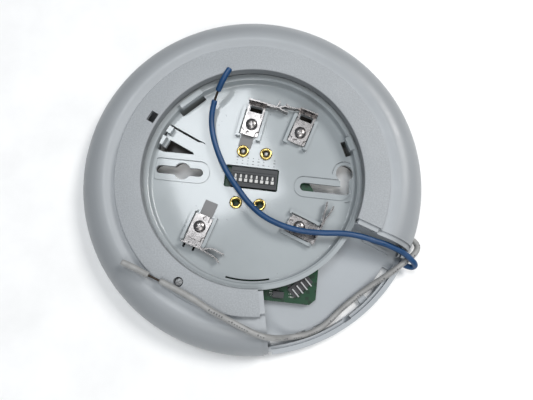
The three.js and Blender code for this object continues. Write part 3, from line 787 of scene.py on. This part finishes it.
def make_rear_housing():
    root = REAR_FLOOR - 0.5
    floor = cylinder(SLOT_RING[1] + 0.5, 0, REAR_FLOOR, steps=FINE)
    start, end = SECTOR[0] + 1.1, SECTOR[1] - 1.1
    wall = union(ring(SLOT_RING[1], REAR_RADIUS, 0, REAR_WALL_TOP),
                 ring_slot(start, end, REAR_RADIUS - 0.5, OPEN_WALL_RADIUS, 0, REAR_WALL_TOP))
    ledge = ring_slot(start, end, SLOT_RING[1] - 0.02, SLOT_RING[1] + 1.2, REAR_WALL_TOP - 1.5,
                      10)
    gap = ring_slot(-58.6, -56, SLOT_RING[1] - 0.02, SLOT_RING[1] + 1.4, REAR_FLOOR, 10)
    seat = cut(ring(*SEAT_RADII, root, PLATE_BOTTOM - GAP),
               in_board_frame(box(-19, 36, -60, 0, REAR_FLOOR, 10)),
               *[placed(box(44, 50, -half - 1, half + 1, REAR_FLOOR, 10), angle)
                 for (angle, half), _ in BAYONETS])
    ribs = [placed(box(57.5, 73, -0.8, 0.8, root, RIB_TOP), SECTOR[0] - 1.2),
            placed(box(50.8, 73, -0.8, 0.8, root, RIB_TOP), SECTOR[1] + 1.2),
            placed(box(59.5, 73, -0.6, 0.6, root, 4), -29.4)]
    boss = cylinder(3.6, root, RIB_TOP, COVER_SCREW)
    posts = [in_board_frame(cylinder(2.6, root, BOARD_BOTTOM - GAP, at)) for at in BOARD_POSTS]
    slots = [ring_slot(a, b, *SLOT_RING, -1, REAR_FLOOR + 0.02)
             for a, b in SLOT_SPANS]
    notches = [placed(box(76.5, 82, -NOTCH_HALF, NOTCH_HALF, REAR_FLOOR + 0.1, 7), a)
               for a in WIRE_NOTCHES]
    holes = [in_board_frame(cylinder(1.2, 1, 6, at)) for at in BOARD_POSTS]
    shell = cut(union(floor, cut(wall, ledge, gap), seat, *ribs, boss, *posts),
                *slots, *notches, *mount_openings(1.5, -1, PLATE_BOTTOM),
                cylinder(PILOT_RADIUS, 4.5, 14, COVER_SCREW), *holes)
    finished(shell, "rear_housing_visual", "base", "housing_plastic", 0.16)


# ---------------------------------------------------------------- terminal plate and arm

def at_arm(piece):
    return placed(piece, ARM_ANGLE, ARM_PIVOT)


def arm_opening():
    channel = box(-0.8, 24, -3.5, 3.5, *THROUGH)
    root = cylinder(3.1, *THROUGH, ARM_ROOT)
    wedge = prism([(-0.2, 3.3), (-0.2, 2), (24, 2), (24, 10.6), (14.6, 10)], *THROUGH)
    return common(at_arm(union(channel, root, wedge)),
                  cylinder(ARM_OPENING_REACH, -5, 25, steps=FINE))


def make_lock_arm():
    top = PLATE_TOP
    bar = box(0, ARM_LENGTH, -2.4, 3.2, PLATE_BOTTOM, top)
    root = cylinder(ROOT_RADIUS, PLATE_BOTTOM, top, ARM_ROOT)
    cap = cylinder(3.5, top + 0.01, top + 0.05, ARM_ROOT)
    neck = cylinder(2.6, top - 0.3, top + 0.03, ARM_ROOT)
    hook = box(14.6, ARM_LENGTH, 3, 7.8, PLATE_BOTTOM, top)
    tooth = box(15.2, ARM_LENGTH, -2.1, 1.2, top - 0.5, 12.4)
    stop = box(15.6, ARM_LENGTH, 3.4, 7.8, top - 0.5, 13)
    arm = common(at_arm(union(bar, root, hook, tooth, stop, neck, cap)),
                 cylinder(ARM_REACH, 0, 25, steps=FINE))
    finished(arm, "lock_arm_visual", "lock_arm", "plate_plastic", 0.03)


def in_terminal_frame(piece, terminal):
    return placed(piece, -terminal["turn"], terminal["at"])


def terminal_rails(terminal):
    parts = []
    inner, outer = RAIL_X
    low = PLATE_TOP - 0.5
    for side in (-1, 1):
        x0, x1 = sorted((side * inner, side * outer))
        f0, f1 = sorted((side * 3.9, side * outer))
        h0, h1 = sorted((side * 4.5, side * (inner + 0.4)))
        parts += [rounded_box(x0, x1, -6.4, 8.4, low, RAIL_TOP, 0.6),
                  rounded_box(f0, f1, -7, -6, low, RAIL_TOP, 0.4),
                  box(h0, h1, 6.6, 8, 10.2, RAIL_TOP)]
    return [in_terminal_frame(part, terminal) for part in parts]


def far_openings():
    """Openings in the plate between a clamp and its tab, where the tab is far out."""
    return [in_terminal_frame(rounded_box(-3, 3, 6.9, 9.7, *THROUGH, 0.5), terminal)
            for terminal in TERMINALS if terminal["tab"] > FAR_TAB]


def make_switch_marks():
    """Rows of tiny plain marks beside the switch window, coloured dark grey as painted shade for
    moulded figures.
    """
    edge = SWITCH_WINDOW[3]
    rng = random.Random(3)
    marks = []
    for i in range(SWITCH_COUNT):
        x = lever_x(i)
        for row, y in enumerate((edge + 1.2, edge + 2.7, edge + 4.1)):
            if row and rng.random() < 0.35:
                continue
            half = rng.choice((0.22, 0.34, 0.5))
            marks.append(in_board_frame(box(x - half, x + half, y - 0.2, y + 0.2,
                                            PLATE_TOP - 0.05, PLATE_TOP + 0.04)))
    finished(union(*marks), "switch_marks_visual", "base", "ink_and_shade_grey", 0,
             replaces="terminal_plate")


def pad_groove(a, b, radius, low):
    """A narrow groove round the outline of a slot-shaped pad."""
    return cut(slot(a, b, radius, low, 20), slot(a, b, radius - 0.5, low - 1, 30))


def over_floor(cutter):
    """The part of a cutter over the plate's flat floor, clear of its rim."""
    return common(cutter, cylinder(FLAT_RADIUS, 0, 30, steps=FINE))


def make_terminal_plate():
    disc = cylinder(49, PLATE_BOTTOM, PLATE_TOP, steps=FINE)
    bottom = REAR_FLOOR + GAP
    lip = PLATE_RADIUS + 1.4
    rim = turned([
        (48.4, bottom), (PLATE_RADIUS, bottom), (PLATE_RADIUS, 12.6), (lip, 12.9),
        (lip, 13.3), (lip - 0.2, 13.5), (49.5, 13.5), (49.05, 13),
        (48.75, 12.9), (48.4, PLATE_TOP + 1.1),
        *reversed(arc((47.3, PLATE_TOP + 1.1), 1.1, 275, 360, 5)), (47.3, PLATE_BOTTOM + 1),
        (48.4, PLATE_BOTTOM + 1)])
    ledges = [placed(rounded_box(*LEDGE_RADII, -half, half, *LEDGE_Z, 0.3), angle)
              for _, (angle, half) in BAYONETS]
    windows = [placed(box(*WINDOW_RADII, -half, half, 0, LEDGE_Z[0]), angle)
               for (angle, half), _ in BAYONETS]
    x0, x1, y0, y1 = SWITCH_WINDOW
    window = in_board_frame(rounded_box(x0, x1, y0, y1, *THROUGH, 0.9))
    board_path = in_board_frame(box(-18.6, 35.8, -60, -30, 0, 6.8))
    recess = PLATE_TOP - 0.4
    groove = PLATE_TOP - 0.8
    plate = union(disc, rim)
    for a, b, radius in ((LEFT_SLOT[0], LEFT_SLOT[1], 5.6), (RIGHT_SLOT[0], (41, -5.9), 5.2)):
        plate = cut(plate, over_floor(pad_groove(a, b, radius, groove)),
                    over_floor(slot(a, b, radius, recess, 20)))
    leg = cut(pad_groove(RIGHT_SLOT[1], RIGHT_SLOT[2], 5.9, groove),
              box(20, 43, -12, 2, groove - 1, 30))
    plate = cut(plate, over_floor(leg))
    rails = [rail for terminal in TERMINALS for rail in terminal_rails(terminal)]
    plate = union(plate, *rails, *ledges)
    slit = ring_slot(-106.6, -82, 46.7, 47.5, *THROUGH)
    near = TERMINALS[2]
    slits = [in_terminal_frame(box(x - 0.5, x + 0.5, 8.7, 11.5, *THROUGH), near)
             for x in (3.45, -1.3)]
    plate = cut(plate, *mount_openings(0, *THROUGH), arm_opening(), board_path, window, *windows,
                slit, *slits, *far_openings(),
                *[cylinder(EYELET_HOLE, *THROUGH, at) for at in EYELETS],
                *[cylinder(SCREW_HOLE, *THROUGH, t["at"]) for t in TERMINALS])
    finished(plate, "terminal_plate_visual", "base", "plate_plastic", 0.1)


# ---------------------------------------------------------------- board and switch

def make_board():
    board = cut(prism(BOARD_OUTLINE, BOARD_BOTTOM, BOARD_TOP),
                *[cylinder(PILOT_RADIUS, *THROUGH, at) for at in BOARD_POSTS])
    finished(in_board_frame(board), "circuit_board_visual", "base", "board_green", 0.08)


def lever_x(i):
    return SWITCH_CENTRE[0] + (i - (SWITCH_COUNT - 1) / 2) * SWITCH_PITCH


def make_switch():
    x, y = SWITCH_CENTRE
    width, depth = SWITCH_SIZE
    bottom = BOARD_TOP + GAP
    block = box(x - width / 2, x + width / 2, y - depth / 2, y + depth / 2, bottom, SWITCH_TOP)
    sunk = box(x - width / 2 + 0.6, x + width / 2 - 0.6, -2.5, 3.6, SWITCH_TOP - 0.25, 20)
    low, high = LEVER_Y - LEVER_HALF - GAP, LEVER_Y + LEVER_HALF + LEVER_TRAVEL + GAP
    reach = LEVER_HALF + GAP
    recesses = [box(lever_x(i) - reach, lever_x(i) + reach, low, high, SWITCH_TOP - 1, 20)
                for i in range(SWITCH_COUNT)]
    finished(in_board_frame(cut(block, sunk, *recesses)), "address_switch_visual", "base",
             "switch_black", 0.08)
    bars = [box(lever_x(i) - 0.4, lever_x(i) + 0.4, 0.7, high - 0.05, SWITCH_TOP - 1.05,
                SWITCH_TOP - 0.76) for i in range(SWITCH_COUNT)]
    finished(in_board_frame(union(*bars)), "switch_bars_visual", "base", "lever_white", 0,
             replaces="address_switch")
    for i in range(SWITCH_COUNT):
        knob = box(lever_x(i) - LEVER_HALF, lever_x(i) + LEVER_HALF, LEVER_Y - LEVER_HALF,
                   LEVER_Y + LEVER_HALF, SWITCH_TOP - 1 + GAP, SWITCH_TOP + 0.4)
        finished(in_board_frame(knob), f"switch_lever_{i + 1}_visual",
                 f"lever_{i + 1}", "lever_white", 0.12)


# ---------------------------------------------------------------- terminals

def standing_strip(points, thickness, z0, z1):
    """A strip of constant thickness that stands on edge along a line of points."""
    left, right = [], []
    for i, (x, y) in enumerate(points):
        ax, ay = points[max(i - 1, 0)]
        bx, by = points[min(i + 1, len(points) - 1)]
        length = math.hypot(bx - ax, by - ay)
        nx, ny = (ay - by) / length * thickness / 2, (bx - ax) / length * thickness / 2
        left.append((x + nx, y + ny))
        right.append((x - nx, y - ny))
    return prism([*right, *reversed(left)], z0, z1)


def crumpled(points, seed):
    """A line of short straight runs that zigzags a little about its points."""
    rng = random.Random(seed)
    smooth = [(p.x, p.y) for p in smooth_path([(x, y, 0) for x, y in points], 0.55)]
    return [(x, y + rng.uniform(-0.16, 0.16)) if 0 < i < len(smooth) - 1 else (x, y)
            for i, (x, y) in enumerate(smooth)]


def make_contact(index, terminal):
    low, high = CONTACT_BOTTOM, CONTACT_BOTTOM + STRIP_THICKNESS
    tab = terminal["tab"]
    strip = box(-4.2, 4.2, -5.2, tab + 0.3, low, high)
    upright = box(-4.3, 4.7, tab - 0.3, tab + 0.3, low, TAB_TOP)
    blades = [standing_strip(crumpled(line, 10 * index + i), 0.55, FORK_Z[0] + 0.13 * i,
                             FORK_Z[1] - 0.17 * i)
              for i, line in enumerate(FORKS[index - 1])]
    holes = [cylinder(SCREW_HOLE, *THROUGH)]
    if tab > FAR_TAB:
        holes.append(rounded_box(-3.3, 3.3, 6.6, 9.7, *THROUGH, 0.5))
    holes += [cylinder(0.32, 0, 12, (x, tab - 0.75), 16) for x in (-1.9, 1.9)]
    body = in_terminal_frame(cut(union(strip, upright, *blades), *holes), terminal)
    finished(body, f"contact_{index}_visual", "base", "contact_steel", 0.07)


def make_clamp(index, terminal):
    half = [(2.7, -5.7), (2.9, -3.4), (4.2, -2.4), (4.2, 3.6), (3.1, 4.4), (3.1, 6.3)]
    plate = prism([*half, *((-x, y) for x, y in reversed(half))], CLAMP_BOTTOM, CLAMP_TOP)
    plate = cut(plate, cylinder(SCREW_HOLE, *THROUGH), cylinder(0.9, *THROUGH, (-0.8, -4.4)))
    finished(in_terminal_frame(plate, terminal), f"clamp_plate_{index}_visual",
             f"clamp_{index}", "contact_steel", 0.14)


def cross_drive(low, high):
    """Cutters for the two crossed slots of a screw's drive."""
    long, short = 1.3, 0.25
    return [box(-long, long, -short, short, low, high), box(-short, short, -long, long, low, high)]


def make_terminal_screw(index, terminal):
    base = CLAMP_TOP + GAP
    dome = [(2.8 * math.cos(a), base + 0.4 + 1.3 * math.sin(a))
            for a in (math.pi / 2 * i / 8 for i in range(8))]
    shank = []
    z = SCREW_BOTTOM
    while z < base - 0.8:
        shank += [(1.15, z), (1.5, z + SCREW_PITCH / 2)]
        z += SCREW_PITCH
    head = turned([(0, SCREW_BOTTOM), *shank, (1.35, base), (2.8, base), *dome,
                   (0, base + 1.7)], 48)
    screw = cut(head, *cross_drive(base + 1, base + 3))
    screw = in_terminal_frame(placed(screw, 20 * index), terminal)
    finished(screw, f"terminal_screw_{index}_visual", f"screw_{index}", "contact_steel", 0.06)


def make_links():
    """Dull flat links; the first runs on under the rim of an eyelet."""
    low = PLATE_TOP + 0.02
    for index, (terminal, far_end) in enumerate(((TERMINALS[0], -11.4), (TERMINALS[2], -12.9)), 1):
        strip = in_terminal_frame(box(-3.4, 2.8, far_end, -5.5, low, low + 0.25), terminal)
        strip = cut(strip, *[cylinder(2.2, *THROUGH, at) for at in EYELETS[:2]])
        finished(strip, f"link_strip_{index}_visual", "base", "dull_tin", 0.05)


# ---------------------------------------------------------------- small fittings

def make_eyelets():
    top = PLATE_TOP
    for index, at in enumerate(EYELETS, 1):
        flange = [(1.55, BOARD_TOP + GAP), (2.1, BOARD_TOP + GAP), (2.1, top + GAP),
                  (3, top + GAP), *arc((2.3, top + 0.45), 0.68, 0, 90, 6),
                  *arc((2.1, top + 0.5), 0.55, 100, 180, 5)]
        finished(turned(flange, 48, at), f"eyelet_{index}_visual", "base", "eyelet_brass", 0)
    for index, at in enumerate(EYELETS[:2], 1):
        pin = turned([(0, BOARD_TOP + GAP), (1.1, BOARD_TOP + GAP), (1.1, top + 0.3),
                      (0.85, top + 0.6), (0.45, top + 0.76), (0, top + 0.8)], 24, at)
        finished(pin, f"eyelet_pin_{index}_visual", "base", "plain_steel", 0)


def make_fasteners():
    head = turned([(0, 6), (1, 6), (1, 16.3), (1.9, 16.3), (1.9, 17.2), (1.5, 17.7), (0, 17.9)],
                  32, COVER_SCREW)
    drive = placed(box(-1.3, 1.3, -0.25, 0.25, 17.2, 19), 30, COVER_SCREW)
    across = placed(box(-1.3, 1.3, -0.25, 0.25, 17.2, 19), 120, COVER_SCREW)
    finished(cut(head, drive, across), "cover_screw_visual", "base", "plain_steel", 0.06)
    for index, at in enumerate(BOARD_POSTS, 1):
        low = REAR_FLOOR - 0.8
        under = BOARD_TOP + 0.2
        screw = turned([(0, low), (0.9, low), (0.9, under), (2, under), (2, 6.5), (1.8, 6.65),
                        (0, 6.65)], 32, at)
        finished(in_board_frame(screw), f"board_screw_{index}_visual", "base", "plain_steel", 0)


def in_header_frame(piece):
    return placed(piece, HEADER_ANGLE, HEADER_CORNER)


def make_header():
    low = BOARD_TOP + GAP
    body = box(-5.6, 5.6, 0.5, 5.6, low, 7)
    finished(in_header_frame(body), "header_body_visual", "base", "switch_black", 0.1)
    for i in range(4):
        x = (i - 1.5) * SWITCH_PITCH
        pin = union(box(x - 0.32, x + 0.32, -0.32, 4.4, 7.4, 8),
                    box(x - 0.32, x + 0.32, -0.32, 0.32, low, 8))
        finished(in_header_frame(pin), f"header_pin_{i + 1}_visual", "base", "plain_steel", 0.12)


def make_chip():
    low = BOARD_TOP + GAP
    body = box(*CHIP, low, low + 1.6)
    legs = [box(15.4 + 1.1 * i, 15.8 + 1.1 * i, -53.6, -50.2, low, low + 0.5) for i in range(4)]
    finished(in_board_frame(union(body, *legs)), "address_chip_visual", "base",
             "switch_black", 0.08)


def make_board_parts():
    """Small surface parts and printed ticks on the open corner of the board."""
    low = BOARD_TOP + 0.01
    parts = [(13.2, -46.2, 2.2, 1), (16.2, -47, 1.8, 1.3), (19.3, -47.3, 2.4, 1.2),
             (22.2, -47.2, 1.6, 1.6), (14.4, -49, 1.4, 0.9), (17.2, -49.7, 1.2, 0.9)]
    blocks = [in_board_frame(box(x - a / 2, x + a / 2, y - b / 2, y + b / 2, low, low + 0.7))
              for x, y, a, b in parts]
    finished(union(*blocks), "board_parts_visual", "base", "switch_black", 0.05,
             replaces="circuit_board")
    rng = random.Random(9)
    ticks = []
    for x, y in ((13.4, -51.8), (14.2, -52.9), (22.4, -51.4), (22.6, -52.7), (13.6, -50.8)):
        for i in range(4):
            a = x + 0.62 * i
            ticks.append(in_board_frame(
                box(a, a + rng.choice((0.16, 0.3)), y, y + 0.6, low, low + 0.03)))
    finished(union(*ticks), "board_ticks_visual", "base", "lever_white", 0,
             replaces="circuit_board")


make_cover()
make_rear_housing()
make_terminal_plate()
make_lock_arm()
make_board()
make_switch()
make_switch_marks()
for number, terminal in enumerate(TERMINALS, 1):
    make_contact(number, terminal)
    make_clamp(number, terminal)
    make_terminal_screw(number, terminal)
make_links()
make_eyelets()
make_fasteners()
make_header()
make_chip()
make_board_parts()
